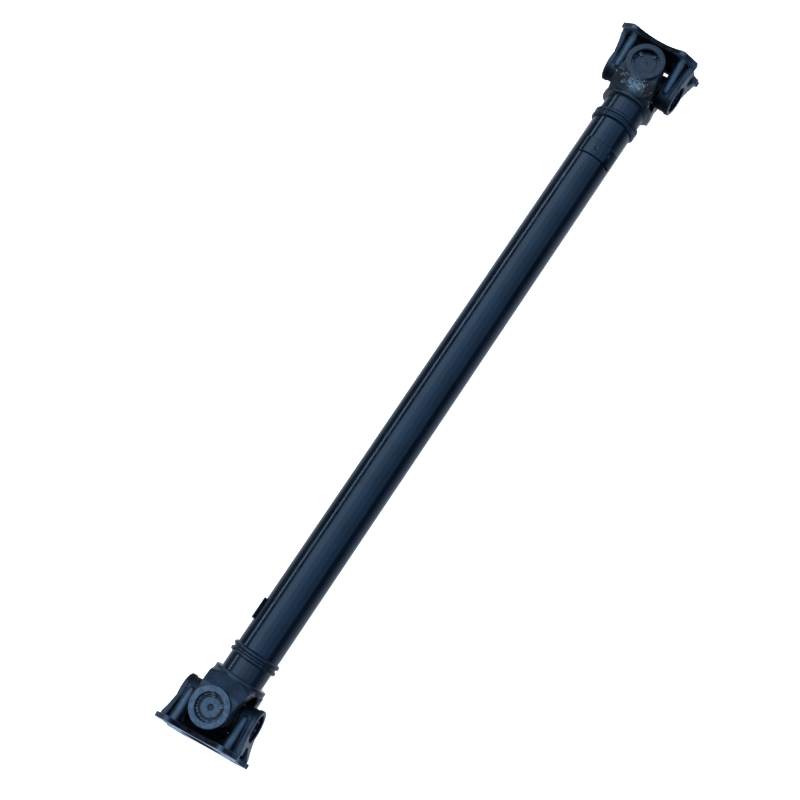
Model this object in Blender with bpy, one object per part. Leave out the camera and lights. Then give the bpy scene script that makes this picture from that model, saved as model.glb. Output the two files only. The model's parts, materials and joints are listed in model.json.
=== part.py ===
"""Universal joint shaft: a painted steel tube with a cross joint and a bolt flange at each end.

The shaft lies along X with its middle at the origin and +Z up. Each joint is modelled in its own
frame, an empty at the joint centre whose +X points out of the shaft towards the flange. The tube's
yoke holds the cross by its upright pins, and the flange yoke holds it by its cross-wise pins.
"""
import math

import bmesh
import bpy
from mathutils import Matrix, Vector

for old in list(bpy.data.objects):
    bpy.data.objects.remove(old, do_unlink=True)

MM = 0.001
GAP = 0.3

# Driving dimensions, in millimetres
TUBE_RADIUS = 25.0
TUBE_WALL = 2.5
JOINT_CENTRE = 428.0          # joint centre to the middle of the shaft
WELD_CENTRE = 363.5           # weld ring to the middle of the shaft
FLANGE_FACE = 39.0            # joint centre to the flange's mounting face
FLANGE_PLATE = 5.5            # flange rim thickness
CUP_RADIUS = 15.0             # bearing cup outside
CUP_FACE = 40.0               # joint centre to a cup's outer face
EAR_FACE = 46.5               # joint centre to a weld yoke ear's machined outer face
FLANGE_EAR_FACE = 45.0        # the same on a flange yoke
EAR_INNER = 24.8              # joint centre to an ear's inner face
EAR_RADIUS = 22.5             # round end of a weld yoke's ear
FLANGE_EAR_RADIUS = 20.0      # round end of a flange yoke's ear
TRUNNION_RADIUS = 9.0
BOSS_STEP = 0.8               # an ear's machined boss stands this far outside its forged end

# Joint angles at rest, in degrees: swing about the upright pins, then about the cross-wise pins
REAR_SWING, REAR_TILT = 6.5, -8.0
FRONT_SWING, FRONT_TILT = -2.5, -12.0

BORE_RADIUS = CUP_RADIUS + GAP
CUP_FLOOR = 2.6               # thickness of a cup's end
TRUNNION_END = CUP_FACE - CUP_FLOOR - 1.1
CLIP_THICKNESS = 1.3
CLIP_RADIUS = 16.2
COLLAR_RADIUS = 31.0
COLLAR_START, COLLAR_END = 33.0, 39.5
NEEDLE_RADIUS = 1.4
NEEDLE_PITCH = TRUNNION_RADIUS + GAP + NEEDLE_RADIUS
LOBE_REACH = 59.3             # flange lobe tip to the shaft axis
LOBE_HALF_WIDTH = 13.2
LOBE_CHAMFER = 2.5
WAIST_RADIUS = 37.0
BOLT_RADIUS = 5.5
BOLT_CIRCLE = 46.5            # bolt holes to the shaft axis
PILOT_RADIUS = 23.5
PILOT_DEPTH = 2.5


def material(name, colour, roughness, metallic):
    made = bpy.data.materials.new(name)
    made.use_nodes = True
    shader = made.node_tree.nodes["Principled BSDF"]
    shader.inputs["Base Color"].default_value = (*colour, 1.0)
    shader.inputs["Roughness"].default_value = roughness
    shader.inputs["Metallic"].default_value = metallic
    return made


TUBE_PAINT = material("tube_paint", (0.006, 0.012, 0.026), 0.22, 0.0)
YOKE_PAINT = material("yoke_paint", (0.010, 0.018, 0.034), 0.38, 0.0)
BEAD_PAINT = material("bead_paint", (0.008, 0.014, 0.028), 0.35, 0.0)
WEIGHT_PAINT = material("weight_paint", (0.006, 0.011, 0.024), 0.30, 0.0)
FLANGE_PAINT = material("flange_paint", (0.009, 0.016, 0.031), 0.36, 0.0)
CROSS_STEEL = material("forged_cross_steel", (0.10, 0.10, 0.11), 0.45, 1.0)
CUP_STEEL = material("painted_cup_steel", (0.030, 0.052, 0.085), 0.35, 0.2)
CLIP_STEEL = material("spring_steel", (0.028, 0.036, 0.050), 0.40, 0.6)
NEEDLE_STEEL = material("needle_steel", (0.55, 0.56, 0.58), 0.18, 1.0)
SEAL_RUBBER = material("seal_rubber", (0.012, 0.012, 0.013), 0.70, 0.0)
DISC_PLASTIC = material("disc_plastic", (0.55, 0.50, 0.36), 0.50, 0.0)


def empty(name, parent=None, place=(0, 0, 0), turn=0.0, axis="Z"):
    made = bpy.data.objects.new(name, None)
    bpy.context.collection.objects.link(made)
    made.parent = parent
    made.matrix_basis = Matrix.Translation(Vector(place) * MM) @ Matrix.Rotation(math.radians(turn), 4, axis)
    return made


def piece(name, shape, finish, parent=None, place=None):
    """One object from a bmesh in millimetres, moved by an optional matrix and hung on an empty."""
    if place is not None:
        shape.transform(place)
    shape.transform(Matrix.Scale(MM, 4))
    mesh = bpy.data.meshes.new(name)
    shape.to_mesh(mesh)
    shape.free()
    mesh.shade_smooth()
    mesh.set_sharp_from_angle(angle=math.radians(35))
    mesh.materials.append(finish)
    made = bpy.data.objects.new(name, mesh)
    bpy.context.collection.objects.link(made)
    made.parent = parent
    return made


def turned(profile, segments, axis="Z"):
    """A closed ring or a solid turned about an axis from (along, radius) points in order."""
    shape = bmesh.new()
    across = Vector((1, 0, 0)) if axis == "Z" else Vector((0, 0, 1))
    along = Vector((0, 0, 1)) if axis == "Z" else Vector((1, 0, 0))
    points = [shape.verts.new(along * a + across * r) for a, r in profile]
    edges = [shape.edges.new((points[i], points[i + 1])) for i in range(len(points) - 1)]
    if profile[0][1] > 0:
        edges.append(shape.edges.new((points[-1], points[0])))
    bmesh.ops.spin(shape, geom=points + edges, cent=(0, 0, 0), axis=along, angle=2 * math.pi,
                   steps=segments, use_merge=True)
    bmesh.ops.remove_doubles(shape, verts=shape.verts, dist=0.001)
    bmesh.ops.recalc_face_normals(shape, faces=shape.faces)
    return shape


def prism(outline, low, high, axis="Z"):
    """An outline of flat points extruded along Z, or along X or Y with the outline turned to match."""
    shape = bmesh.new()
    face = shape.faces.new([shape.verts.new((x, y, low)) for x, y in outline])
    grown = bmesh.ops.extrude_face_region(shape, geom=[face])
    top = [g for g in grown["geom"] if isinstance(g, bmesh.types.BMVert)]
    bmesh.ops.translate(shape, verts=top, vec=(0, 0, high - low))
    if axis == "X":
        shape.transform(Matrix(((0, 0, 1, 0), (1, 0, 0, 0), (0, 1, 0, 0), (0, 0, 0, 1))))
    if axis == "Y":
        shape.transform(Matrix(((1, 0, 0, 0), (0, 0, 1, 0), (0, 1, 0, 0), (0, 0, 0, 1))))
    bmesh.ops.recalc_face_normals(shape, faces=shape.faces)
    return shape


def arc(centre, radius, start, end, steps):
    """Points of a circular arc, with both ends, angles in degrees."""
    points = []
    for i in range(steps + 1):
        a = math.radians(start + (end - start) * i / steps)
        points.append((centre[0] + radius * math.cos(a), centre[1] + radius * math.sin(a)))
    return points


def combine(base, tool, operation):
    """The exact union, difference or intersection of two bmeshes in millimetres."""
    pair = []
    for shape in (base, tool):
        mesh = bpy.data.meshes.new("blank")
        shape.to_mesh(mesh)
        shape.free()
        blank = bpy.data.objects.new("blank", mesh)
        bpy.context.collection.objects.link(blank)
        pair.append(blank)
    boolean = pair[0].modifiers.new("boolean", "BOOLEAN")
    boolean.operation = operation
    boolean.solver = "EXACT"
    boolean.object = pair[1]
    bpy.context.view_layer.update()
    seen = pair[0].evaluated_get(bpy.context.evaluated_depsgraph_get())
    result = bmesh.new()
    result.from_mesh(seen.to_mesh())
    seen.to_mesh_clear()
    for blank in pair:
        bpy.data.objects.remove(blank, do_unlink=True)
    bmesh.ops.dissolve_limit(result, angle_limit=math.radians(0.5), verts=result.verts, edges=result.edges)
    return result


def union(base, tool):
    return combine(base, tool, "UNION")


def cut(base, tool):
    return combine(base, tool, "DIFFERENCE")


def rod(low, high, radius, segments, axis="Z", end_chamfer=0.0):
    inner = radius - end_chamfer
    if end_chamfer > 0:
        profile = [(low, 0), (low, inner), (low + end_chamfer, radius), (high - end_chamfer, radius),
                   (high, inner), (high, 0)]
    else:
        profile = [(low, 0), (low, radius), (high, radius), (high, 0)]
    return turned(profile, segments, axis)


# Frames: one empty at each joint centre, then one on each swinging axis
REAR = empty("rear_joint", place=(-JOINT_CENTRE, 0, 0), turn=180.0)
FRONT = empty("front_joint", place=(JOINT_CENTRE, 0, 0))
JOINTS = {
    "rear": (REAR, REAR_SWING, REAR_TILT, 162.0),
    "front": (FRONT, FRONT_SWING, FRONT_TILT, 15.0),
}

# How a pin's own frame, +Z out along the pin, is turned for each of the four pins of a cross
TOP = Matrix.Identity(4)
BOTTOM = Matrix.Rotation(math.radians(180), 4, "X")
LEFT = Matrix.Rotation(math.radians(-90), 4, "X")
RIGHT = Matrix.Rotation(math.radians(90), 4, "X")


def make_tube():
    """The shaft tube, open at both ends, which stops short of the weld's middle."""
    end = WELD_CENTRE - 1.8
    inner = TUBE_RADIUS - TUBE_WALL
    profile = [(-end, inner), (-end, TUBE_RADIUS), (end, TUBE_RADIUS), (end, inner)]
    piece("shaft_tube", turned(profile, 48, "X"), TUBE_PAINT)


def make_weld_bead(side, sign):
    """The friction weld's metal and its two curled flash ridges."""
    middle = sign * WELD_CENTRE
    root, crest, valley = TUBE_RADIUS + GAP, 28.2, 26.6
    half = [(1.5, TUBE_RADIUS - TUBE_WALL), (1.5, root), (6.2, root), (6.2, valley), (3.6, crest),
            (0.0, valley)]
    profile = [(middle + a, r) for a, r in half]
    profile += [(middle - a, r) for a, r in reversed(half[:-1])]
    piece(side + "_weld_bead", turned(profile, 32, "X"), BEAD_PAINT)


def curved_plate(start, end, inner, outer, low, high, steps):
    """A plate bent round the tube, angles in degrees from +Z towards -Y."""
    ring = arc((0, 0), outer, start, end, steps) + arc((0, 0), inner, end, start, steps)
    return prism([(-math.sin(math.atan2(y, x)) * math.hypot(x, y), x) for x, y in ring], low, high, "X")


def make_balance_weights():
    under = TUBE_RADIUS + GAP
    piece("front_balance_weight", curved_plate(-28, 76, under, under + 1.8, 307.0, 327.0, 12), WEIGHT_PAINT)
    piece("rear_balance_weight", curved_plate(-84, -62, under, under + 3.0, -330.0, -305.0, 4), WEIGHT_PAINT)


def bore_pair():
    """The cutter for both cup bores of a yoke along Z, with their circlip grooves."""
    groove_low, groove_high = CUP_FACE + 0.15, CUP_FACE + 2.1
    half = [(60.0, 0), (60.0, BORE_RADIUS), (groove_high, BORE_RADIUS), (groove_high, CLIP_RADIUS + GAP),
            (groove_low, CLIP_RADIUS + GAP), (groove_low, BORE_RADIUS)]
    return turned([(-z, r) for z, r in half] + [(z, r) for z, r in reversed(half)], 24)


def make_weld_yoke(side, joint):
    """Forged yoke: a neck the size of the tube, a wide collar and two ears that carry the upright pins."""
    neck_end = JOINT_CENTRE - WELD_CENTRE - 1.8
    shape = turned([(-neck_end, 0), (-neck_end, TUBE_RADIUS), (-COLLAR_END, TUBE_RADIUS),
                    (-COLLAR_END, COLLAR_RADIUS - 0.8), (-COLLAR_END + 0.8, COLLAR_RADIUS),
                    (-COLLAR_START, COLLAR_RADIUS), (-COLLAR_START, 0)], 36, "X")
    # Ears: the plan outline and the side outline are extruded through each other
    root, shoulder, tip = 37.0, 27.0, 30.0
    flare = math.degrees(math.asin((shoulder - EAR_RADIUS) / (root - 3.0)))
    plan = arc((0, 0), EAR_RADIUS - BOSS_STEP, -90 - flare, 90 + flare, 14)
    plan += [(-root, shoulder), (-root, -shoulder)]
    ears = prism(plan, -EAR_FACE, EAR_FACE)
    plate_face, plate_start, root_face = 42.5, 19.0, 30.0
    flank = [(-root, root_face), (-plate_start, plate_face), (tip, plate_face), (tip, EAR_INNER)]
    flank += arc((-(COLLAR_START - EAR_INNER), 0), EAR_INNER, 90, 270, 14)
    flank += [(tip, -EAR_INNER), (tip, -plate_face), (-plate_start, -plate_face), (-root, -root_face)]
    ears = combine(ears, prism(flank, -40.0, 40.0, "Y"), "INTERSECT")
    # A cone takes the ears' corners down to the collar
    cone_start, cone_end, wide = 37.5, 26.0, 60.0
    turned_back = turned([(-cone_start, 0), (-cone_start, COLLAR_RADIUS - 1.0), (-cone_end, 52.0),
                          (tip + 10.0, wide), (tip + 10.0, 0)], 36, "X")
    ears = combine(ears, turned_back, "INTERSECT")
    shape = union(shape, ears)
    for turn in (TOP, BOTTOM):
        boss = rod(EAR_INNER + 3.0, EAR_FACE, EAR_RADIUS, 28, end_chamfer=1.5)
        boss.transform(turn)
        shape = union(shape, boss)
    shape = cut(shape, bore_pair())
    neck_floor = COLLAR_END + 3.0
    shape = cut(shape, rod(-2 * neck_end, -neck_floor, TUBE_RADIUS - TUBE_WALL, 28, "X"))
    piece(side + "_weld_yoke", shape, YOKE_PAINT, joint)


def lobed_outline():
    """Four chamfered lobes on the diagonals, joined by waists whose arcs reach in to the waist radius."""
    steps = 8
    points = []
    for quarter in range(4):
        turn = Matrix.Rotation(math.radians(45 + 90 * quarter), 2)
        side = LOBE_REACH - LOBE_CHAMFER
        near = LOBE_HALF_WIDTH - LOBE_CHAMFER
        lobe = [(side, -LOBE_HALF_WIDTH), (LOBE_REACH, -near), (LOBE_REACH, near), (side, LOBE_HALF_WIDTH)]
        points += [turn @ Vector(corner) for corner in lobe]
        # the waist's arc passes through this lobe's corner, the waist radius and the next lobe's corner
        middle = Matrix.Rotation(math.radians(45), 2) @ turn @ Vector((1, 0))
        corner = points[-1]
        rise = corner.dot(middle) - WAIST_RADIUS
        span = (corner - middle * corner.dot(middle)).length
        radius = (span ** 2 + rise ** 2) / (2 * rise)
        centre = middle * (WAIST_RADIUS + radius)
        half_sweep = math.asin(span / radius)
        for i in range(1, steps):
            sweep = half_sweep * (2 * i / steps - 1)
            points.append(centre - Matrix.Rotation(-sweep, 2) @ middle * radius)
    return [(p.x, p.y) for p in points]


def flange_ear_pair():
    """The two ears along Y: a flat inner face, a sloping root and an outer face that meets the lobes."""
    plate_back = FLANGE_FACE - FLANGE_PLATE
    inside_plate = plate_back + 1.0
    tip, wide = 30.0, 60.0
    foot, knee, knee_half_width = 28.0, 24.0, 23.5
    flare = math.degrees(math.asin((foot - FLANGE_EAR_RADIUS) / plate_back)) * 0.8
    outline = arc((0, 0), FLANGE_EAR_RADIUS - BOSS_STEP, 90 - flare, 270 + flare, 14)
    outline += [(knee, -knee_half_width), (inside_plate, -foot), (inside_plate, foot), (knee, knee_half_width)]
    skin = FLANGE_EAR_FACE - BOSS_STEP
    inside = [(-tip, EAR_INNER), (26.0, EAR_INNER), (inside_plate, EAR_INNER - 6.0)]
    outside = [(inside_plate, skin + 4.8), (29.0, skin + 3.6), (20.0, skin + 1.6), (5.0, skin), (-tip, skin)]
    ears = []
    for sign in (1, -1):
        half = prism([(x, y * sign) for x, y in inside + outside], -wide, wide)
        half = combine(half, prism(outline, -wide, wide, "Y"), "INTERSECT")
        # a pocket between the two bands that run from the boss to the lobes
        pocket = prism([(21.2, -4.0), (21.2, 4.0), (plate_back, 17.0), (plate_back, -17.0)], 38.5, wide, "Y")
        if sign < 0:
            pocket.transform(Matrix.Rotation(math.pi, 4, "X"))
        ears.append(cut(half, pocket))
    return ears


def make_flange_yoke(side, pivot):
    """Forged yoke: a four-lobed bolt flange and two ribbed ears that carry the cross-wise pins."""
    plate_back = FLANGE_FACE - FLANGE_PLATE
    shape = prism(lobed_outline(), plate_back, FLANGE_FACE, "X")
    for ear in flange_ear_pair():
        shape = union(shape, ear)
    for turn in (LEFT, RIGHT):
        boss = rod(EAR_INNER + 4.0, FLANGE_EAR_FACE, FLANGE_EAR_RADIUS, 28, end_chamfer=1.5)
        boss.transform(turn)
        shape = union(shape, boss)
    # the raised saddle between the ears stays clear of the other yoke's ears as they swing past it
    half = [(plate_back + 0.7, 34.0), (31.8, 24.0), (29.6, 17.0), (24.6, 10.5), (22.0, 4.0)]
    if side == "rear":
        half.append((19.2, 2.6))
    saddle = half + [(x, -z) for x, z in reversed(half)]
    shape = union(shape, prism(saddle, -EAR_INNER - 1.0, EAR_INNER + 1.0, "Y"))
    # a forged groove along each flank, between the inner rib and the outer band
    groove_floor, groove_tip, groove_foot = 19.5, 4.0, plate_back - 1.5
    for y_sign in (1, -1):
        for z_sign in (1, -1):
            groove = prism([(groove_tip, 37.0), (groove_foot, 36.2), (groove_foot, 40.6), (groove_tip, 38.6)],
                           groove_floor, 60.0)
            groove.transform(Matrix.Diagonal((1, y_sign, z_sign, 1)))
            bmesh.ops.recalc_face_normals(groove, faces=groove.faces)
            shape = cut(shape, groove)
    # the flange's waist beside each ear reaches in as far as the ear's outer face
    notch = [(43.6, -15.0), (43.6, 15.0), (47.0, 21.0), (60.0, 24.0), (60.0, -24.0), (47.0, -21.0)]
    for y_sign in (1, -1):
        waist = prism([(y * y_sign, z) for y, z in notch], plate_back - 1.0, FLANGE_FACE + 1.0, "X")
        shape = cut(shape, waist)
    bores = bore_pair()
    bores.transform(LEFT)
    shape = cut(shape, bores)
    shape = cut(shape, rod(FLANGE_FACE - PILOT_DEPTH, FLANGE_FACE + 5.0, PILOT_RADIUS, 28, "X"))
    for quarter in range(4):
        hole = rod(plate_back - 4.0, FLANGE_FACE + 5.0, BOLT_RADIUS, 14, "X")
        hole.transform(Matrix.Translation((0, 0, BOLT_CIRCLE)))
        hole.transform(Matrix.Rotation(math.radians(45 + 90 * quarter), 4, "X"))
        shape = cut(shape, hole)
    piece(side + "_flange_yoke", shape, FLANGE_PAINT, pivot)


def make_cross(side, swing):
    """The forged spider: a chunky hub and four ground trunnions."""
    shape = rod(-21.5, 21.5, 12.5, 20)
    arm = rod(-21.5, 21.5, 12.5, 20)
    arm.transform(LEFT)
    shape = union(shape, arm)
    for turn in (TOP, LEFT):
        pin = rod(-TRUNNION_END, TRUNNION_END, TRUNNION_RADIUS, 20)
        pin.transform(turn)
        shape = union(shape, pin)
    piece(side + "_cross", shape, CROSS_STEEL, swing)


def make_cup(name, parent, turn):
    """Drawn steel bearing cup, open towards the cross."""
    mouth_end, wall = EAR_INNER + 0.5, 12.4
    floor = CUP_FACE - CUP_FLOOR
    profile = [(floor, 0), (floor, wall), (mouth_end, wall), (mouth_end, CUP_RADIUS),
               (CUP_FACE, CUP_RADIUS), (CUP_FACE, 0)]
    piece(name, turned(profile, 20), CUP_STEEL, parent, turn)


def make_needle_set(name, parent, turn):
    """The full complement of needle rollers, as one fluted sleeve in place of loose rollers."""
    rollers, low, high = 16, 26.5, 36.0
    outer, inner = [], []
    for i in range(rollers * 2):
        a = math.pi * i / rollers
        reach = NEEDLE_PITCH + NEEDLE_RADIUS if i % 2 == 0 else NEEDLE_PITCH + 0.5
        outer.append((reach * math.cos(a), reach * math.sin(a)))
    for i in range(rollers):
        a = 2 * math.pi * i / rollers
        reach = NEEDLE_PITCH - NEEDLE_RADIUS + 0.15
        inner.append((reach * math.cos(a), reach * math.sin(a)))
    shape = cut(prism(outer, low, high), prism(inner, low - 5.0, high + 5.0))
    piece(name, shape, NEEDLE_STEEL, parent, turn)


def make_circlip(name, parent, turn, gap_middle):
    """Internal circlip with two drilled lugs, its opening centred on the given angle."""
    low, high = CUP_FACE + 0.45, CUP_FACE + 0.45 + CLIP_THICKNESS
    half_gap, lug_radius, lug_reach = 33.0, 1.9, 13.0
    start, end = gap_middle + half_gap, gap_middle + 360.0 - half_gap
    ring = arc((0, 0), CLIP_RADIUS, start, end, 14) + arc((0, 0), 14.1, end, start, 14)
    shape = prism(ring, low, high)
    for angle in (start + 3.0, end - 3.0):
        seat = Matrix.Rotation(math.radians(angle), 4, "Z") @ Matrix.Translation((lug_reach, 0, 0))
        lug = rod(low, high, lug_radius, 10)
        lug.transform(seat)
        shape = union(shape, lug)
        hole = rod(low - 1.0, high + 1.0, 0.9, 6)
        hole.transform(seat)
        shape = cut(shape, hole)
    piece(name, shape, CLIP_STEEL, parent, turn)


def make_seal(name, parent, turn):
    """Rubber lip seal in the cup's open end."""
    bore, skirt, lip = TRUNNION_RADIUS + 2 * GAP, 15.8, 14.4
    profile = [(21.8, bore), (21.8, skirt), (23.2, skirt), (23.2, lip), (25.0, lip), (25.0, bore)]
    piece(name, turned(profile, 16), SEAL_RUBBER, parent, turn)


def make_thrust_disc(name, parent, turn):
    """Plastic disc between a trunnion's end and its cup."""
    low, high = TRUNNION_END + GAP, CUP_FACE - CUP_FLOOR - GAP
    piece(name, rod(low, high, 11.0, 16), DISC_PLASTIC, parent, turn)


def make_joint(side, joint, swing_angle, tilt_angle, clip_gap):
    """One whole joint: yokes, cross and the four bearings."""
    swing = empty(side + "_swing", joint, turn=swing_angle)
    tilt = empty(side + "_tilt", swing, turn=tilt_angle, axis="Y")
    make_weld_yoke(side, joint)
    make_flange_yoke(side, tilt)
    make_cross(side, swing)
    left_right = (LEFT, RIGHT) if side == "front" else (RIGHT, LEFT)
    pins = {
        "top": (joint, TOP), "bottom": (joint, BOTTOM),
        "left": (tilt, left_right[0]), "right": (tilt, left_right[1]),
    }
    for pin, (parent, turn) in pins.items():
        make_cup(f"{side}_cup_{pin}", parent, turn)
        make_needle_set(f"{side}_needles_{pin}", parent, turn)
        make_circlip(f"{side}_circlip_{pin}", parent, turn, clip_gap)
        make_seal(f"{side}_seal_{pin}", parent, turn)
        make_thrust_disc(f"{side}_thrust_disc_{pin}", parent, turn)


make_tube()
make_weld_bead("rear", -1)
make_weld_bead("front", 1)
make_balance_weights()
for side, (joint, swing_angle, tilt_angle, clip_gap) in JOINTS.items():
    make_joint(side, joint, swing_angle, tilt_angle, clip_gap)
bpy.context.view_layer.update()
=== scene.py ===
"""Looks of a universal joint shaft: a painted steel tube with a cross joint and a bolt flange at each end."""
import json
import math

import bmesh
import bpy
from mathutils import Euler, Matrix, Vector, noise


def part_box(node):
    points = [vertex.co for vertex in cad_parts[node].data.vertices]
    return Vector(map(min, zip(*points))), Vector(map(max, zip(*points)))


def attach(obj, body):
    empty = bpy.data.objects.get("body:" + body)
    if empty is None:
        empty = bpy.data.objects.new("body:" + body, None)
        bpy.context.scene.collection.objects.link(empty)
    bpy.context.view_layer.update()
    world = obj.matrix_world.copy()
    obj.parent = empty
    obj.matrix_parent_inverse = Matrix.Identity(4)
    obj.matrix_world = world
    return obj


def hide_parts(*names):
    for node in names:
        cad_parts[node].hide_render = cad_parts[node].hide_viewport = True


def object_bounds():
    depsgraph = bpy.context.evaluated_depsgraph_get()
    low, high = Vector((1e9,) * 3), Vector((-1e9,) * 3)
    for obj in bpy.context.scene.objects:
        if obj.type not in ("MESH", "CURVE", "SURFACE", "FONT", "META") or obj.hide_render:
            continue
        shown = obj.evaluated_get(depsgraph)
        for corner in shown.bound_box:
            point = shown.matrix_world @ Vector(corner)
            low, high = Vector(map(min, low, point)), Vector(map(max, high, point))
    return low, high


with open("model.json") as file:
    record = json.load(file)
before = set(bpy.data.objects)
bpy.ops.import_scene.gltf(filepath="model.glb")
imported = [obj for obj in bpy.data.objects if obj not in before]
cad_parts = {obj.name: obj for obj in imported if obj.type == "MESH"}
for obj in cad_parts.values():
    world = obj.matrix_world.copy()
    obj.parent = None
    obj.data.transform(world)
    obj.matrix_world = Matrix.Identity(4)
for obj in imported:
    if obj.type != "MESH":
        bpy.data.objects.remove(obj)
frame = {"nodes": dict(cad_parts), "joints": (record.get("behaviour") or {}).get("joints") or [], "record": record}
cad_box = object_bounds()


# ---- Shaft tube -------------------------------------------------------------------------------------
# Cold-drawn steel tube, straight and round, cut square at both ends and friction-welded to a forged
# yoke at each. It is dipped with the rest of the shaft in a blue-black chassis paint, which flows out
# to a gloss on the smooth tube.

MM = 0.001
SHAFT_AXIS = Vector((1, 0, 0))
SHAFT_PLACE = Matrix.Identity(4)


def linear(code):
    """The linear colour of an sRGB hex code."""
    parts = [int(code[i:i + 2], 16) / 255 for i in (0, 2, 4)]
    return (*[c / 12.92 if c <= 0.04045 else ((c + 0.055) / 1.055) ** 2.4 for c in parts], 1.0)


def add(tree, kind, inputs, **settings):
    """One shader node with its settings, each input a value or another node's output."""
    made = tree.nodes.new(kind)
    for key, value in settings.items():
        setattr(made, key, value)
    for key, value in inputs.items():
        if isinstance(value, bpy.types.NodeSocket):
            tree.links.new(value, made.inputs[key])
        else:
            made.inputs[key].default_value = value
    return made


def begin_finish(name, place, **uniform):
    """A material whose one-value sockets are set, and the surface's place in the piece's own frame in mm."""
    made = bpy.data.materials.new(name)
    made.use_nodes = True
    tree = made.node_tree
    shader = tree.nodes["Principled BSDF"]
    for key, value in uniform.items():
        shader.inputs[key.replace("_", " ")].default_value = value
    placed = add(tree, "ShaderNodeTexCoord", {})
    bench = add(tree, "ShaderNodeMapping", {
        "Vector": placed.outputs["Object"], "Location": place.translation,
        "Rotation": place.to_euler(), "Scale": (MM, MM, MM)}, vector_type="TEXTURE")
    return made, tree, shader, bench.outputs[0]


def blotches(tree, bench, size, low, high, detail=3.0):
    """Noise with features of a size in mm, stretched from low..high to 0..1."""
    grain = add(tree, "ShaderNodeTexNoise", {"Vector": bench, "Scale": 1 / size, "Detail": detail})
    return add(tree, "ShaderNodeMapRange", {0: grain.outputs[0], 1: low, 2: high}).outputs[0]


def between(tree, factor, first, second):
    """A value that goes from first to second as the factor goes from 0 to 1."""
    return add(tree, "ShaderNodeMapRange", {0: factor, 3: first, 4: second}).outputs[0]


def tint(tree, factor, first, second):
    """A colour mixed from two, each a hex code or another node's output."""
    ends = [linear(c) if isinstance(c, str) else c for c in (first, second)]
    return add(tree, "ShaderNodeMix", {0: factor, 6: ends[0], 7: ends[1]}, data_type="RGBA").outputs[2]


def relief(tree, shader, height, depth, under=None):
    """Bumps the shader by a height of 0..1 times a depth in mm."""
    inputs = {"Height": height, "Distance": depth * MM, "Strength": 1.0}
    if under is not None:
        inputs["Normal"] = under
    bump = add(tree, "ShaderNodeBump", inputs)
    tree.links.new(bump.outputs[0], shader.inputs["Normal"])
    return bump.outputs[0]


# Chassis paint is an electrocoat: a dark, slightly blue film with a clear, mirror-like skin.
FILM = {"Specular_Tint": linear("a9c6ee"), "IOR": 1.55}


def dipped_paint(name, place):
    """Gloss dip paint on smooth tube: long draw lines, faint orange peel and a little handling haze."""
    made, tree, shader, bench = begin_finish(name, place, **FILM)
    cloud = blotches(tree, bench, 30.0, 0.35, 0.65)
    tree.links.new(tint(tree, cloud, "0b131d", "121c28"), shader.inputs["Base Color"])
    haze = blotches(tree, bench, 9.0, 0.45, 0.75)
    tree.links.new(between(tree, haze, 0.13, 0.24), shader.inputs["Roughness"])
    stretched = add(tree, "ShaderNodeMapping", {"Vector": bench, "Scale": (0.02, 1.0, 1.0)})
    draw_lines = blotches(tree, stretched.outputs[0], 1.6, 0.3, 0.7, 2.0)
    lined = relief(tree, shader, draw_lines, 0.006)
    relief(tree, shader, blotches(tree, bench, 1.8, 0.2, 0.8, 1.0), 0.01, lined)
    return made


def filleted(corners, steps=4):
    """An outline of (u, v, radius) corners with each corner rounded by an arc."""
    outline = []
    for i, (u, v, radius) in enumerate(corners):
        here = Vector((u, v))
        if radius == 0:
            outline.append(here)
            continue
        back = (Vector(corners[i - 1][:2]) - here).normalized()
        ahead = (Vector(corners[(i + 1) % len(corners)][:2]) - here).normalized()
        half = back.angle(ahead) / 2
        centre = here + (back + ahead).normalized() * radius / math.sin(half)
        start = here + back * radius / math.tan(half) - centre
        end = here + ahead * radius / math.tan(half) - centre
        turn = math.remainder(math.atan2(end.y, end.x) - math.atan2(start.y, start.x), 2 * math.pi)
        for step in range(steps + 1):
            outline.append(centre + Matrix.Rotation(turn * step / steps, 2) @ start)
    return outline


def turned(profile, axis="Z", steps=96):
    """A turned solid from (along, radius) points; a profile clear of the axis closes into a ring."""
    shape = bmesh.new()
    along = SHAFT_AXIS if axis == "X" else Vector((0, 0, 1))
    across = Vector((0, 0, 1)) if axis == "X" else Vector((1, 0, 0))
    points = [shape.verts.new(along * a + across * r) for a, r in profile]
    edges = [shape.edges.new(pair) for pair in zip(points, points[1:])]
    if profile[0][1] > 0:
        edges.append(shape.edges.new((points[-1], points[0])))
    bmesh.ops.spin(shape, geom=points + edges, cent=(0, 0, 0), axis=along, angle=2 * math.pi,
                   steps=steps, use_merge=True)
    bmesh.ops.remove_doubles(shape, verts=shape.verts, dist=0.001)
    bmesh.ops.recalc_face_normals(shape, faces=shape.faces)
    return shape


def fit(name, shape, place, finish, body, slot, *nodes, crease=32.0):
    """Makes a piece of a shape modelled in mm: set in place, shaded, on its body, for its CAD nodes."""
    shape.transform(Matrix.Scale(MM, 4))
    shape.transform(place)
    mesh = bpy.data.meshes.new(name)
    shape.to_mesh(mesh)
    shape.free()
    mesh.shade_smooth()
    mesh.set_sharp_from_angle(angle=math.radians(crease))
    mesh.materials.append(finish)
    made = bpy.data.objects.new(name, mesh)
    bpy.context.scene.collection.objects.link(made)
    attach(made, body)
    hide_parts(*nodes)
    return made


tube_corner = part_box("shaft_tube")[1] / MM
TUBE_END = tube_corner.x
TUBE_RADIUS = tube_corner.z
TUBE_WALL = 2.5
TUBE_BORE = TUBE_RADIUS - TUBE_WALL
TUBE_CHAMFER = 0.4
ROUND_STEPS = 160

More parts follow.
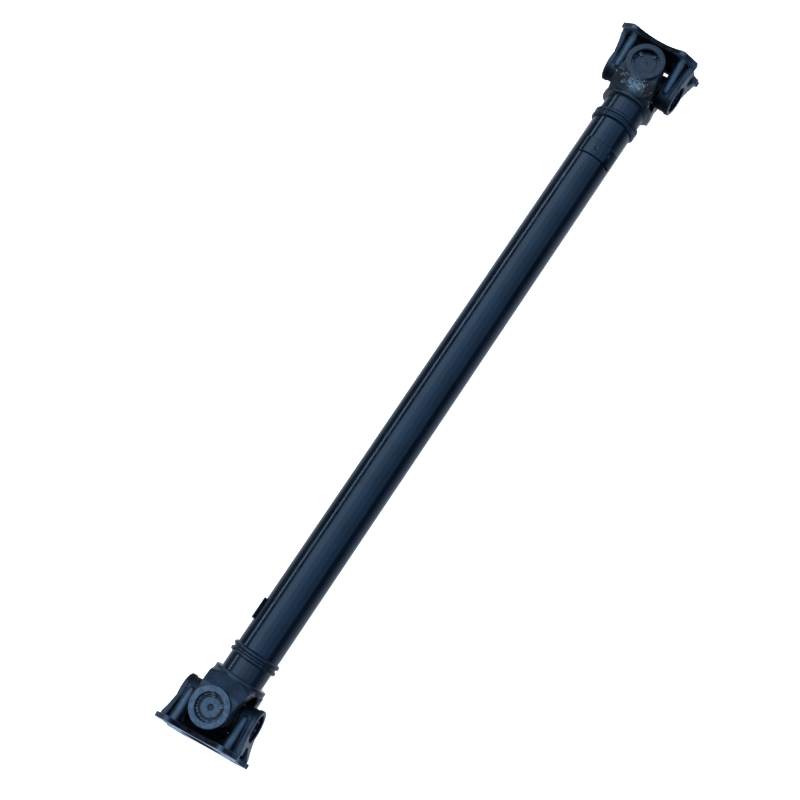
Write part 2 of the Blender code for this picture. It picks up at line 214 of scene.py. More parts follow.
tube_paint = dipped_paint("gloss_dip_paint", SHAFT_PLACE)
tube_walls = filleted([(-TUBE_END, TUBE_BORE, 0), (-TUBE_END, TUBE_RADIUS, TUBE_CHAMFER),
                       (TUBE_END, TUBE_RADIUS, TUBE_CHAMFER), (TUBE_END, TUBE_BORE, 0)])
tube = turned(tube_walls, "X", ROUND_STEPS)
fit("tube", tube, SHAFT_PLACE, tube_paint, "shaft", "tube_paint", "shaft_tube")


# ---- Friction welds ---------------------------------------------------------------------------------
# The spinning yoke is pressed on the tube until the steel flows, and the metal squeezed out rolls back
# as two soft curled ridges. Nobody trims them: they are dipped as they are, so paint pools in the
# valley between.

FLASH_CREST = 28.0
FLASH_VALLEY = 26.0
FLASH_HALF_WIDTH = 6.0
FLASH_FOOT = TUBE_RADIUS + 0.15
WELD_FACE = 1.5
RIPPLE_SIZE = 9.0
RIPPLE_DEPTH = 0.18


def flash_profile():
    """Root, curl, valley, curl, root, from one side of the weld to the other."""
    ridge = (FLASH_HALF_WIDTH - 0.6) / 2
    half = [(WELD_FACE, TUBE_BORE, 0), (WELD_FACE, FLASH_FOOT, 0), (FLASH_HALF_WIDTH, FLASH_FOOT, 0.2),
            (FLASH_HALF_WIDTH, TUBE_RADIUS + 1.2, 0.6), (ridge + 1.9, FLASH_CREST, 1.1),
            (ridge - 0.8, FLASH_CREST, 1.2), (0.9, FLASH_VALLEY, 0.9)]
    return filleted([(-a, r, fillet) for a, r, fillet in half] +
                    [(a, r, fillet) for a, r, fillet in reversed(half)], 5)


def weld_paint(name, place):
    """The same dip paint where it lies thicker and duller over rolled, oxidised flash."""
    made, tree, shader, bench = begin_finish(name, place, **FILM)
    patches = blotches(tree, bench, 5.0, 0.35, 0.7)
    tree.links.new(tint(tree, patches, "0b1420", "1a2637"), shader.inputs["Base Color"])
    tree.links.new(between(tree, patches, 0.24, 0.42), shader.inputs["Roughness"])
    rolled = add(tree, "ShaderNodeMapping", {"Vector": bench, "Scale": (3.0, 1.0, 1.0)})
    relief(tree, shader, blotches(tree, rolled.outputs[0], 3.0, 0.3, 0.7), 0.12)
    return made


def ripple(shape, size, depth, seed):
    """Pushes a surface in and out along its normals by smooth noise: size and depth in mm."""
    shape.normal_update()
    shift = Vector((seed, seed, seed))
    swells = [noise.fractal(vert.co / size + shift, 1.0, 2.0, 3) for vert in shape.verts]
    for vert, swell in zip(shape.verts, swells):
        vert.co += vert.normal * swell * depth


flash_paint = weld_paint("pooled_dip_paint", SHAFT_PLACE)
for side, sign in (("rear", -1), ("front", 1)):
    low, high = (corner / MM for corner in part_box(side + "_weld_bead"))
    flash = turned(flash_profile(), "X", ROUND_STEPS)
    ripple(flash, RIPPLE_SIZE, RIPPLE_DEPTH, 3.0 + sign)
    weld_place = Matrix.Translation(((low.x + high.x) / 2 * MM, 0, 0))
    fit(side + "_weld_flash", flash, weld_place, flash_paint, "shaft", "bead_paint", side + "_weld_bead")


# ---- Balance weights --------------------------------------------------------------------------------
# Small plates of steel strip, rolled to the tube and spot-welded where the balancing machine asks.
# The electrode leaves round dents, drawn as two in the front weight and none in the rear one, and the shaft is
# painted after balancing.

PLATE_CLEARANCE = 0.25
RIM_ROUND = 0.5
RIM_DROP = 0.35
DENT_DEPTH = 0.6
DENT_RADIUS = 2.0
DENT_LIP = 0.25
DENT_LIP_AT = 2.9
DENT_LIP_WIDTH = 0.7


def bent_plate(length, start, end, thickness, corner, dents):
    """A strip rolled round the tube: angles in degrees from +Z towards -Y, dents as (along, angle)."""
    outer = TUBE_RADIUS + PLATE_CLEARANCE + thickness
    half_length, half_width = length / 2, math.radians(end - start) * outer / 2
    shape = bmesh.new()
    bmesh.ops.create_grid(shape, x_segments=44, y_segments=88, size=1.0)
    for vert in shape.verts:
        u, v = vert.co.x * half_length, vert.co.y * half_width
        # the square corners are drawn in to quarter circles
        a = max(0.0, (abs(u) - half_length + corner) / corner)
        b = max(0.0, (abs(v) - half_width + corner) / corner)
        u += math.copysign(corner * a * (math.sqrt(1 - b * b / 2) - 1), u)
        v += math.copysign(corner * b * (math.sqrt(1 - a * a / 2) - 1), v)
        angle = math.radians((start + end) / 2) + v / outer
        rim = min(half_length - abs(u), half_width - abs(v))
        radius = outer - RIM_DROP * max(0.0, 1 - rim / RIM_ROUND) ** 2
        for along, where in dents:
            miss = math.hypot(u - along, (angle - math.radians(where)) * outer)
            dent = DENT_DEPTH * math.exp(-(miss / DENT_RADIUS) ** 4)
            lip = DENT_LIP * math.exp(-((miss - DENT_LIP_AT) / DENT_LIP_WIDTH) ** 2)
            radius -= dent - lip
        vert.co = Vector((u, -radius * math.sin(angle), radius * math.cos(angle)))
    bmesh.ops.recalc_face_normals(shape, faces=shape.faces)
    outward = sum(f.normal.yz.dot(f.calc_center_median().yz) for f in shape.faces)
    if outward < 0:
        bmesh.ops.reverse_faces(shape, faces=shape.faces)
    return worked(shape, [("SOLIDIFY", {"thickness": thickness, "offset": -1.0})])


def worked(shape, steps):
    """What a stack of modifiers, each a kind and its settings, makes of a shape."""
    mesh = bpy.data.meshes.new("blank")
    shape.to_mesh(mesh)
    shape.free()
    blank = bpy.data.objects.new("blank", mesh)
    bpy.context.scene.collection.objects.link(blank)
    for kind, settings in steps:
        modifier = blank.modifiers.new(kind, kind)
        for key, value in settings.items():
            setattr(modifier, key, value)
    seen = blank.evaluated_get(bpy.context.evaluated_depsgraph_get())
    result = bmesh.new()
    result.from_mesh(seen.to_mesh())
    seen.to_mesh_clear()
    bpy.data.objects.remove(blank)
    bpy.data.meshes.remove(mesh)
    return result


def forged(shape, grain, rounds):
    """Closed shapes fused into one skin with every edge rounded, as a die leaves them."""
    return worked(shape, [("REMESH", {"mode": "VOXEL", "voxel_size": grain}),
                          ("SMOOTH", {"factor": 0.5, "iterations": rounds})])


WEIGHTS = {
    # node: start, end, thickness, corner radius, dents
    "front_balance_weight": (-28.0, 76.0, 1.8, 2.5, ((0.0, 8.0), (0.0, 44.0))),
    "rear_balance_weight": (-84.0, -62.0, 3.0, 1.5, ()),
}
weight_paint = dipped_paint("dip_paint_on_strip", SHAFT_PLACE)
for node_name, (start, end, thickness, corner, dents) in WEIGHTS.items():
    low, high = (corner_point / MM for corner_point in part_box(node_name))
    plate = bent_plate(high.x - low.x, start, end, thickness - PLATE_CLEARANCE, corner, dents)
    plate_place = Matrix.Translation(((low.x + high.x) / 2 * MM, 0, 0))
    fit(node_name + "_plate", plate, plate_place, weight_paint, "shaft", "weight_paint", node_name)


# ---- Weld yokes -------------------------------------------------------------------------------------
# Drop-forged medium-carbon steel, shot-blasted. The neck, the collar and the bosses round the bores
# are turned and faced; the rest keeps the die's rounded, pitted skin under the paint.

JOINT_AT = {side: Vector(joint["pos_m"]) for side in ("rear", "front")
            for joint in frame["joints"] if joint["name"] == side + "_upright_pins"}
JOINT_PLACE = {
    "rear": Matrix.Translation(JOINT_AT["rear"]) @ Matrix.Rotation(math.pi, 4, "Z"),
    "front": Matrix.Translation(JOINT_AT["front"]),
}
JOINT_CENTRE = JOINT_AT["front"].x / MM
NECK_END = JOINT_CENTRE - TUBE_END - 3.6
COLLAR_END = 39.5
COLLAR_START = 33.0
COLLAR_RADIUS = 31.0
EAR_FACE = 46.5
EAR_INNER = 24.8
EAR_RADIUS = 22.5
EAR_STEP = 0.9
EAR_LENGTH = 34.0
SHOULDER = 26.5
CUP_RADIUS = 15.0
CUP_FACE = 40.0
BORE_RADIUS = 15.3
CLIP_GROOVE = 16.5
BORE_CHAMFER = 0.8
YOKE_BACK = -37.0
YOKE_GRAIN = 0.9
FLANGE_GRAIN = 0.8
PAST_ALL = 60.0
FLIP = Matrix.Rotation(math.pi, 4, "X")


def prism(outline, low, high, along="Z"):
    """A flat outline extruded along Z, or along X or Y with the outline's axes turned to match."""
    shape = bmesh.new()
    face = shape.faces.new([shape.verts.new((u, v, low)) for u, v in outline])
    grown = bmesh.ops.extrude_face_region(shape, geom=[face])
    bmesh.ops.translate(shape, verts=[g for g in grown["geom"] if isinstance(g, bmesh.types.BMVert)],
                        vec=(0, 0, high - low))
    if along == "X":
        shape.transform(Matrix(((0, 0, 1, 0), (1, 0, 0, 0), (0, 1, 0, 0), (0, 0, 0, 1))))
    if along == "Y":
        shape.transform(Matrix(((1, 0, 0, 0), (0, 0, 1, 0), (0, 1, 0, 0), (0, 0, 0, 1))))
    bmesh.ops.recalc_face_normals(shape, faces=shape.faces)
    return shape


def joined(*shapes):
    """Several shapes in one bmesh, each still its own shell."""
    whole = bmesh.new()
    for shape in shapes:
        mesh = bpy.data.meshes.new("part")
        shape.to_mesh(mesh)
        shape.free()
        whole.from_mesh(mesh)
        bpy.data.meshes.remove(mesh)
    return whole


def combined(base, tool, operation="DIFFERENCE", solver="MANIFOLD"):
    """Two closed shapes added, cut or intersected."""
    mesh = bpy.data.meshes.new("tool")
    tool.to_mesh(mesh)
    tool.free()
    cutter = bpy.data.objects.new("tool", mesh)
    bpy.context.scene.collection.objects.link(cutter)
    made = worked(base, [("BOOLEAN", {"operation": operation, "solver": solver, "object": cutter})])
    bpy.data.objects.remove(cutter)
    bpy.data.meshes.remove(mesh)
    return made


def bore_cutter(face):
    """Both cup bores of a yoke, each with its circlip groove and a chamfered mouth."""
    mouth = BORE_RADIUS + PAST_ALL - face + BORE_CHAMFER
    groove_top, groove_bottom = CUP_FACE + 2.1, CUP_FACE + 0.2
    half = [(PAST_ALL, mouth), (face - BORE_CHAMFER, BORE_RADIUS), (groove_top, BORE_RADIUS),
            (groove_top, CLIP_GROOVE), (groove_bottom, CLIP_GROOVE), (groove_bottom, BORE_RADIUS)]
    below = [(-z, r) for z, r in half]
    above = [(z, r) for z, r in reversed(half)]
    return turned([(-PAST_ALL, 0.0)] + below + above + [(PAST_ALL, 0.0)], steps=128)


def arc(radius, start, end, steps, centre=(0, 0)):
    """Points on a circle, both ends included, angles in degrees."""
    turns = [math.radians(start + (end - start) * i / steps) for i in range(steps + 1)]
    return [(centre[0] + radius * math.cos(a), centre[1] + radius * math.sin(a)) for a in turns]


def faced_boss(radius, face, start=EAR_INNER + 4.0):
    """The faced ring that stands round a bore, with a small turned chamfer."""
    return turned(filleted([(start, 0, 0), (start, radius, 0), (face, radius, 0.9), (face, 0, 0)]), steps=128)


def weld_yoke():
    """Two ears along Z that grow out of a collar, on a neck of the tube's size."""
    flare = math.degrees(math.asin((SHOULDER - EAR_RADIUS) / EAR_LENGTH))
    plan = arc(EAR_RADIUS - EAR_STEP, -90 - flare, 90 + flare, 32)
    plan += [(YOKE_BACK, SHOULDER), (YOKE_BACK, -SHOULDER)]
    # the flank is the outline from the side: its back slopes up to the plate the bosses stand on
    back, plate, knee, tip = 30.0, 42.5, -19.0, 30.0
    flank = [(YOKE_BACK, back), (knee, plate), (tip, plate), (tip, EAR_INNER)]
    flank += arc(EAR_INNER, 90, 270, 40, (-(COLLAR_START - EAR_INNER), 0))
    flank += [(tip, -EAR_INNER), (tip, -plate), (knee, -plate), (YOKE_BACK, -back)]
    ears = combined(prism(plan, -PAST_ALL, PAST_ALL), prism(flank, -40.0, 40.0, "Y"), "INTERSECT", "EXACT")
    envelope = turned([(YOKE_BACK - 0.5, 0), (YOKE_BACK - 0.5, COLLAR_RADIUS - 0.8), (-26.0, 52.0),
                       (40.0, 60.0), (40.0, 0)], "X")
    ears = combined(ears, envelope, "INTERSECT", "EXACT")
    hub = turned([(-COLLAR_END + 1.0, 0), (-COLLAR_END + 1.0, COLLAR_RADIUS - 2.0),
                  (-COLLAR_START - 1.0, COLLAR_RADIUS - 0.6), (-COLLAR_START - 1.0, 0)], "X")
    skin = forged(joined(ears, hub), YOKE_GRAIN, 5)
    neck = turned(filleted([(-NECK_END, 0, 0), (-NECK_END, TUBE_RADIUS, 0.4), (-COLLAR_END, TUBE_RADIUS, 0.7),
                            (-COLLAR_END, COLLAR_RADIUS, 0.6), (-COLLAR_START, COLLAR_RADIUS, 1.2),
                            (-COLLAR_START, 0, 0)]), "X", 128)
    skin = combined(skin, neck, "UNION")
    for turn in (Matrix.Identity(4), FLIP):
        boss = faced_boss(EAR_RADIUS, EAR_FACE)
        boss.transform(turn)
        skin = combined(skin, boss, "UNION")
    skin = combined(skin, bore_cutter(EAR_FACE))
    hollow = turned([(-80.0, 0), (-80.0, TUBE_BORE), (-44.0, TUBE_BORE), (-41.5, 12.0), (-41.5, 0)], "X")
    return combined(skin, hollow)


def past(tree, value, low, high):
    """A smooth step from 0 at one value to 1 at another."""
    step = add(tree, "ShaderNodeMapRange", {0: value, 1: low, 2: high}, interpolation_type="SMOOTHSTEP")
    return step.outputs[0]


def sized(tree, value):
    """The size of a value, whatever its sign."""
    return add(tree, "ShaderNodeMath", {0: value}, operation="ABSOLUTE").outputs[0]


def greater(tree, first, second):
    """The greater of two values."""
    return add(tree, "ShaderNodeMath", {0: first, 1: second}, operation="MAXIMUM").outputs[0]


def from_axis(tree, first, second):
    """The distance from an axis, given the two coordinates across it."""
    across = add(tree, "ShaderNodeCombineXYZ", {0: first, 1: second}).outputs[0]
    return add(tree, "ShaderNodeVectorMath", {0: across}, operation="LENGTH").outputs[1]


def times(tree, *factors):
    """The product of several 0..1 values."""
    product = factors[0]
    for factor in factors[1:]:
        product = add(tree, "ShaderNodeMath", {0: product, 1: factor}, operation="MULTIPLY").outputs[0]
    return product


def mixed(tree, factor, first, second):
    """A value mixed from two, each a number or another node's output."""
    return add(tree, "ShaderNodeMix", {0: factor, 2: first, 3: second}).outputs[0]


FORGED_FILM = {"Specular_Tint": linear("b0bfdc"), "IOR": 1.54}
FLANGE_FACE = 39.0
PILOT_DEPTH = 2.5
PALE_SPOT = (-26.5, -2.0, 41.0)


def yoke_paint(name, place, pins, face, skin_colours, face_colours, scale_patch=False, bare_end=False):
    """Dip paint over a blasted forging: dull and pitted on the die's skin, smoother on turned faces, with painted
    shade inside the ears and bores and on faces looking along the shaft.

    pins is the axis index of the bores; scale_patch leaves rough mill scale by the collar, and bare_end
    leaves a turned mounting face without paint and paints highlights on the rib crests and lobe backs."""
    made, tree, shader, bench = begin_finish(name, place, **FORGED_FILM)
    axes = add(tree, "ShaderNodeSeparateXYZ", {0: bench}).outputs
    normal = add(tree, "ShaderNodeTexCoord", {}).outputs["Normal"]
    facing = add(tree, "ShaderNodeVectorMath", {0: normal, 1: place.col[0].to_3d()},
                 operation="DOT_PRODUCT").outputs[1]
    out = sized(tree, axes[pins])
    faced = past(tree, out, face - 0.35, face - 0.15)
    neck = past(tree, axes[0], -COLLAR_END + 0.4, -COLLAR_END - 0.4)
    pits = blotches(tree, bench, 1.3, 0.38, 0.66, 5.0)
    clouds = blotches(tree, bench, 13.0, 0.3, 0.7)
    colour = tint(tree, clouds, *skin_colours)
    # painted shade: near-black, rough and with little gloss on what looks along the shaft, inside the ears and
    # down the bores
    looks = -1 if bare_end else 1
    shaded = past(tree, facing, looks * 0.30, looks * 0.85)
    inner = past(tree, out, EAR_INNER + 4.0, EAR_INNER + 0.5)
    uneven = between(tree, blotches(tree, bench, 8.0, 0.3, 0.7, 4.0), 1.0, 0.7)
    painted_shade = times(tree, greater(tree, shaded, inner), uneven,
                  past(tree, axes[0], -COLLAR_START, -COLLAR_START + 2.0))
    from_pin = from_axis(tree, axes[0], axes[3 - pins])
    bored = times(tree, past(tree, from_pin, BORE_RADIUS + 0.9, BORE_RADIUS + 0.5),
                  past(tree, out, face - 0.6, face - 1.2))
    painted_shade = greater(tree, painted_shade, bored)
    # the painted shade is tinted near-black here
    colour = tint(tree, painted_shade, colour, "090808")
    worn = blotches(tree, bench, 4.0, 0.4, 0.7, 4.0)
    colour = tint(tree, faced, colour, tint(tree, worn, *face_colours))
    colour = tint(tree, neck, colour, "141f2c")
    roughness = between(tree, pits, 0.25, 0.40)
    roughness = mixed(tree, painted_shade, roughness, 0.62)
    gloss = mixed(tree, painted_shade, 0.5, 0.06)
    roughness = mixed(tree, faced, roughness, 0.36)
    roughness = mixed(tree, neck, roughness, 0.17)
    shallow = between(tree, worn, 0.375, 0.625)
    height = mixed(tree, faced, pits, shallow)
    height = mixed(tree, neck, height, 0.5)
    if scale_patch:
        # mill scale that the blasting left: brown where it has flaked, pale where the paint bridges it
        patch = times(tree, past(tree, axes[0], -COLLAR_START - 2.0, -COLLAR_START + 1.5),
                      past(tree, axes[0], -14.0, -22.0), past(tree, axes[2], 14.0, 24.0))
        flakes = blotches(tree, bench, 5.0, 0.35, 0.65, 5.0)
        grit = blotches(tree, bench, 1.1, 0.44, 0.62, 4.0)
        to_pale = add(tree, "ShaderNodeVectorMath", {0: bench, 1: PALE_SPOT}, operation="DISTANCE").outputs[1]
        patch = times(tree, patch, between(tree, faced, 1.0, 0.0))
        pale = times(tree, patch, past(tree, mixed(tree, flakes, to_pale, 5.0), 11.0, 4.0), grit)
        brown = times(tree, patch, past(tree, sized(tree, axes[1]), 1.0, 9.0),
                      between(tree, flakes, 0.45, 1.0))
        colour = tint(tree, brown, colour, tint(tree, grit, "0b0909", "3a2f2b"))
        colour = tint(tree, pale, colour, "9db8cc")
        roughness = mixed(tree, patch, roughness, 0.55)
        gloss = mixed(tree, brown, gloss, 0.12)
    if bare_end:
        # painted highlight: a paler, glossier colour on the crests of the ribs and on the backs of the lobes
        crests = times(tree, past(tree, sized(tree, axes[2]), 18.6, 21.5), past(tree, out, 28.0, 30.5),
                       past(tree, out, 36.6, 34.6))
        lobes = times(tree, past(tree, from_axis(tree, axes[1], axes[2]), 44.0, 52.0), shaded)
        painted_highlight = times(tree, greater(tree, crests, lobes), between(tree, clouds, 0.55, 1.0))
        # the painted highlight colour on the crests and lobe backs
        colour = tint(tree, painted_highlight, colour, "465a70")
        gloss = mixed(tree, painted_highlight, gloss, 0.5)
        roughness = mixed(tree, painted_highlight, roughness, 0.33)
        pilot_floor = FLANGE_FACE - PILOT_DEPTH
        end = times(tree, past(tree, facing, 0.985, 0.995),
                    past(tree, axes[0], pilot_floor - 0.3, pilot_floor - 0.1))
        colour = tint(tree, end, colour, "eceef0")
        tree.links.new(end, shader.inputs["Metallic"])
        roughness = mixed(tree, end, roughness, 0.28)
    tree.links.new(colour, shader.inputs["Base Color"])
    tree.links.new(roughness, shader.inputs["Roughness"])
    tree.links.new(gloss, shader.inputs["Specular IOR Level"])
    relief(tree, shader, height, 0.10)
    return made


# Painted light: the rear weld yoke's skin and faced rings are lighter and the front's darker, though the two yokes
# are the same part.
YOKE_SKIN_LIT_AND_SHADED = {"rear": ("16202c", "24344a"), "front": ("121a24", "1e2a38")}
YOKE_FACE_LIT_AND_SHADED = {"rear": ("35465a", "506479"), "front": ("18222f", "263141")}
for side in ("rear", "front"):
    finish = yoke_paint(side + "_yoke_dip_paint", JOINT_PLACE[side], 2, EAR_FACE, YOKE_SKIN_LIT_AND_SHADED[side],
                        YOKE_FACE_LIT_AND_SHADED[side], scale_patch=side == "front")
    fit(side + "_tube_yoke", weld_yoke(), JOINT_PLACE[side], finish, "shaft", "yoke_paint",
        side + "_weld_yoke")


# ---- Crosses ----------------------------------------------------------------------------------------
# One forging of case-hardening steel with four ground trunnions. Its hub is left as forged and goes
# dark with phosphate and the dip's overspray.

TRUNNION_RADIUS = 9.0
TRUNNION_END = 36.3
HUB_ARM = 21.5
HUB_RADIUS = 12.5
HEART_RADIUS = HUB_RADIUS + 3.4
SHOULDER_RING = 17.2
SHOULDER_LOW = 17.6
SHOULDER_HIGH = 21.3
CROSS_GRAIN = 0.8
ACROSS = Matrix.Rotation(-math.pi / 2, 4, "X")


def cross_place(side):
    """The frame of a cross: Z along its upright pins and Y along its flange pins, X towards the flange."""
    pins = Vector({joint["name"]: joint for joint in frame["joints"]}[side + "_flange_pins"]["axis"])
    up = Vector((0, 0, 1))
    out = pins.cross(up).normalized()
    if out.dot(JOINT_AT[side]) < 0:
        out, pins = -out, -pins
    return Matrix.Translation(JOINT_AT[side]) @ Matrix((out, pins, up)).transposed().to_4x4()


def cross():
    """A chunky hub with short arms and a shoulder by each flange ear, and the trunnions ground on it."""
    blanks = []
    for turn in (Matrix.Identity(4), ACROSS):
        arm = turned(filleted([(-HUB_ARM, 0, 0), (-HUB_ARM, HUB_RADIUS, 1.0), (HUB_ARM, HUB_RADIUS, 1.0),
                               (HUB_ARM, 0, 0)]), steps=48)
        arm.transform(turn)
        blanks.append(arm)
    for low, high in ((SHOULDER_LOW, SHOULDER_HIGH), (-SHOULDER_HIGH, -SHOULDER_LOW)):
        shoulder = turned([(low, 0), (low, SHOULDER_RING), (high, SHOULDER_RING), (high, 0)], steps=48)
        shoulder.transform(ACROSS)
        blanks.append(shoulder)
    heart = bmesh.new()
    bmesh.ops.create_icosphere(heart, subdivisions=4, radius=HEART_RADIUS)
    hub = forged(joined(*blanks, heart), CROSS_GRAIN, 4)
    for turn in (Matrix.Identity(4), ACROSS):
        pin = turned(filleted([(-TRUNNION_END, 0, 0), (-TRUNNION_END, TRUNNION_RADIUS, 0.8),
                               (TRUNNION_END, TRUNNION_RADIUS, 0.8), (TRUNNION_END, 0, 0)]), steps=64)
        pin.transform(turn)
        hub = combined(hub, pin, "UNION")
    return hub


def phosphated(name, place):
    """Phosphated forging steel: a matt charcoal with a crystalline mottle."""
    made, tree, shader, bench = begin_finish(name, place, Metallic=0.6)
    mottle = blotches(tree, bench, 2.2, 0.35, 0.65, 5.0)
    tree.links.new(tint(tree, mottle, "14161a", "2c3036"), shader.inputs["Base Color"])
    tree.links.new(between(tree, mottle, 0.42, 0.62), shader.inputs["Roughness"])
    relief(tree, shader, mottle, 0.06)
    return made


CROSS_PLACE = {side: cross_place(side) for side in ("rear", "front")}
for side in ("rear", "front"):
    finish = phosphated(side + "_phosphated_steel", CROSS_PLACE[side])
    fit(side + "_cross_forging", cross(), CROSS_PLACE[side], finish, side + "_cross", "cross_steel",
        side + "_cross")


# ---- Bearings ---------------------------------------------------------------------------------------
# Each trunnion runs in a drawn steel cup full of needle rollers, with a plastic disc at its end and a
# rubber seal at its mouth. The cup is pressed into the ear before dipping, so its end is painted over.

CUP_FLOOR = 2.6
CUP_MOUTH = 25.3
CUP_INSIDE = 12.4
CUP_STEP = CUP_FACE - 0.3
CUP_DISH = CUP_FACE - 1.4
DISC_RAISED = 10.9
STAMPED_RINGS = (9.4, 6.4)
STAMP_HALF_WIDTH = 0.7
STAMP_DEPTH = 0.22
SEAL_SKIRT = 15.8
SEAL_BODY = 14.4
SEAL_BORE = 9.6
FACE_TURN = {"top": Matrix.Identity(4), "bottom": FLIP, "near": ACROSS, "far": ACROSS @ FLIP}


def flange_place(side):
    """The frame of a flange yoke: X out of its mounting face, Y along its pins, Z upwards."""
    mounts = {mount["name"]: mount for mount in frame["record"]["mounts"]}
    out = Vector(mounts[side + "_flange_face"]["axis"]).normalized()
    pins = CROSS_PLACE[side].col[1].to_3d().normalized()
    return Matrix.Translation(JOINT_AT[side]) @ Matrix((out, pins, out.cross(pins))).transposed().to_4x4()


FLANGE_PLACE = {side: flange_place(side) for side in ("rear", "front")}


def pins_of(side):
    """Name, body and place, +Z out along the pin, of a joint's four pins."""
    left = "near" if FLANGE_PLACE[side].col[1].y > 0 else "far"
    right = "far" if left == "near" else "near"
    return [("top", "shaft", JOINT_PLACE[side] @ FACE_TURN["top"]),
            ("bottom", "shaft", JOINT_PLACE[side] @ FACE_TURN["bottom"]),
            ("left", side + "_flange", FLANGE_PLACE[side] @ FACE_TURN[left]),
            ("right", side + "_flange", FLANGE_PLACE[side] @ FACE_TURN[right])]


def cup(side):
    """A drawn cup: its end is stepped, and dished at the rear joint or stamped with rings at the front."""
    floor = CUP_FACE - CUP_FLOOR
    profile = [(floor, 0, 0), (floor, CUP_INSIDE, 0.8), (CUP_MOUTH, CUP_INSIDE, 0.3),
               (CUP_MOUTH, CUP_RADIUS, 0.6), (CUP_STEP, CUP_RADIUS, 0.9)]
    if side == "rear":
        groove = CUP_FACE - 1.2
        profile += [(CUP_STEP, 13.7, 0.2), (groove, 12.9, 0.5), (groove, 11.4, 0.4),
                    (CUP_FACE, DISC_RAISED, 0.4), (CUP_FACE, 3.6, 0.3), (CUP_DISH, 2.6, 0.9),
                    (CUP_DISH, 0, 0)]
    else:
        nub = CUP_FACE + 0.45
        profile += [(CUP_STEP, 12.6, 0.3), (CUP_FACE, 12.0, 0.3)]
        for ring in STAMPED_RINGS:
            profile += [(CUP_FACE, ring + STAMP_HALF_WIDTH, 0.3), (CUP_FACE - STAMP_DEPTH, ring, 0.3),
                        (CUP_FACE, ring - STAMP_HALF_WIDTH, 0.3)]
        profile += [(CUP_FACE, 3.2, 0.5), (nub, 1.9, 0.6), (nub, 0, 0)]
    return turned(filleted(profile), steps=96)


def seal():
    """A lip seal whose skirt covers the mouth of the cup."""
    inner_end, skirt_end, outer_end = 21.8, 23.2, 25.0
    profile = [(inner_end, SEAL_BORE, 0), (inner_end, SEAL_SKIRT, 0.5), (skirt_end, SEAL_SKIRT, 0.5),
               (skirt_end, SEAL_BODY, 0.2), (outer_end, SEAL_BODY, 0.3), (outer_end, SEAL_BORE, 0)]
    return turned(filleted(profile, 3), steps=72)


def cup_paint(name, place, pins, colours):
    """Dip paint on a drawn cup's end, thin enough to show the worn steel's grey, near-black as painted shade in
    its recesses.
    """
    made, tree, shader, bench = begin_finish(name, place, **FORGED_FILM)
    worn = blotches(tree, bench, 3.5, 0.35, 0.7, 4.0)
    out = sized(tree, add(tree, "ShaderNodeSeparateXYZ", {0: bench}).outputs[pins])
    # painted shade: the recesses below the cup's end face are tinted near-black
    recess = past(tree, out, CUP_FACE - 0.35, CUP_FACE - 0.8)
    colour = tint(tree, recess, tint(tree, worn, *colours), "121a24")
    tree.links.new(colour, shader.inputs["Base Color"])
    tree.links.new(between(tree, worn, 0.26, 0.42), shader.inputs["Roughness"])
    relief(tree, shader, blotches(tree, bench, 0.9, 0.3, 0.7), 0.02)
    return made


def moulded(name, dark, light, grain, roughness, bump):
    """A moulded rubber or plastic with a fine even skin."""
    made, tree, shader, bench = begin_finish(name, SHAFT_PLACE)
    skin = blotches(tree, bench, grain, 0.3, 0.7)
    tree.links.new(tint(tree, skin, dark, light), shader.inputs["Base Color"])
    tree.links.new(between(tree, skin, roughness - 0.05, roughness + 0.05), shader.inputs["Roughness"])
    relief(tree, shader, skin, bump)
    return made


def ground_steel(name):
    """Ground and hardened roller steel: bright, with a trace of oil."""
    made, tree, shader, bench = begin_finish(name, SHAFT_PLACE, Metallic=1.0)
    film = blotches(tree, bench, 2.0, 0.35, 0.65)
    tree.links.new(tint(tree, film, "b4b6b8", "c8c6c0"), shader.inputs["Base Color"])
    tree.links.new(between(tree, film, 0.12, 0.22), shader.inputs["Roughness"])
    return made


# Painted light: the rear cups' ends are lighter and the front cups' darker, as on the weld yokes' faced rings.
CUP_COLOURS_LIT_AND_SHADED = {"rear": ("2d3d50", "45596c"), "front": ("18222f", "263141")}
cup_finish = {}
for side, colours in CUP_COLOURS_LIT_AND_SHADED.items():
    cup_finish[side, "shaft"] = cup_paint(side + "_shaft_cup_dip_paint", JOINT_PLACE[side], 2, colours)
    cup_finish[side, side + "_flange"] = cup_paint(side + "_flange_cup_dip_paint", FLANGE_PLACE[side], 1,
                                                   colours)
seal_rubber = moulded("nitrile_rubber", "0d0e10", "17181b", 0.8, 0.6, 0.03)
disc_plastic = moulded("acetal_plastic", "b8ac86", "c9bf9d", 1.5, 0.42, 0.01)
roller_steel = ground_steel("ground_roller_steel")
for side in ("rear", "front"):
    for pin, body, place in pins_of(side):
        fit(f"{side}_bearing_cup_{pin}", cup(side), place, cup_finish[side, body], body, "cup_steel",
            f"{side}_cup_{pin}")
        fit(f"{side}_lip_seal_{pin}", seal(), place, seal_rubber, body, "seal_rubber", f"{side}_seal_{pin}")
        frame["nodes"][f"{side}_needles_{pin}"].material_slots[0].material = roller_steel
        frame["nodes"][f"{side}_thrust_disc_{pin}"].material_slots[0].material = disc_plastic


# ---- Circlips ---------------------------------------------------------------------------------------
# Internal circlips stamped from spring steel, wider opposite their gap, with a drilled lug at each
# end. Each is sprung into its bore's groove over the cup and dipped with the shaft.

CLIP_LOW = CUP_FACE + 0.5
CLIP_HIGH = CUP_FACE + 1.7
CLIP_RADIUS = 16.2
CLIP_INNER = 14.2
CLIP_WIDENING = 1.1
CLIP_GAP = 66.0
LUG_REACH = 12.4
LUG_RADIUS = 2.2
LUG_EYE = 0.95
GAP_MIDDLE = {"rear": 162.0, "front": 15.0}


